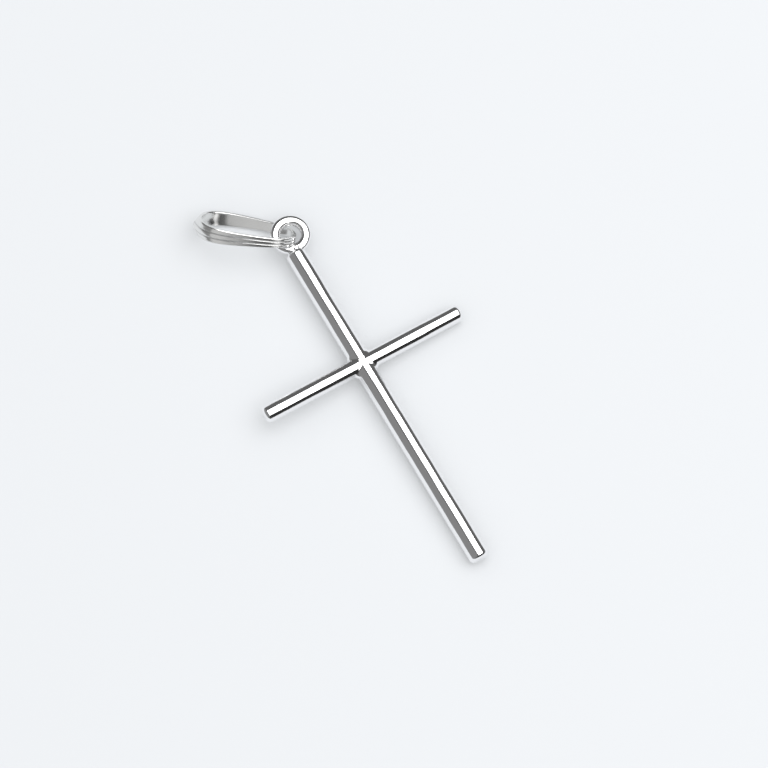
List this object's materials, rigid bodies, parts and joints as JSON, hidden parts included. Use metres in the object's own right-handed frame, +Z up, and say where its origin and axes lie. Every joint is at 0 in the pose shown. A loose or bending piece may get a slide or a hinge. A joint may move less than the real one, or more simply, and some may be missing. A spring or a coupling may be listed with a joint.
{
  "type": "cross pendant",
  "caption": "Plain round-rod cross pendant with a soldered wire eye and a loose tapered ribbed bail, lying face up with the bail fallen to one side",
  "frame": {"origin": "middle of the bottom of the whole pendant's box as it lies face up on a surface", "axes": "+Y runs from the foot of the upright to the eye, +X along the crossbar to the right seen from the face, +Z up out of the face"},
  "size_m": [0.0204, 0.0406, 0.0045],
  "materials": {
    "polished_silver": "mirror polished silver",
    "bail_silver": "polished silver, slightly softer than the rods"
  },
  "bodies": {
    "root": {"cross": "polished_silver", "bail": "bail_silver"}
  },
  "joints": []
}
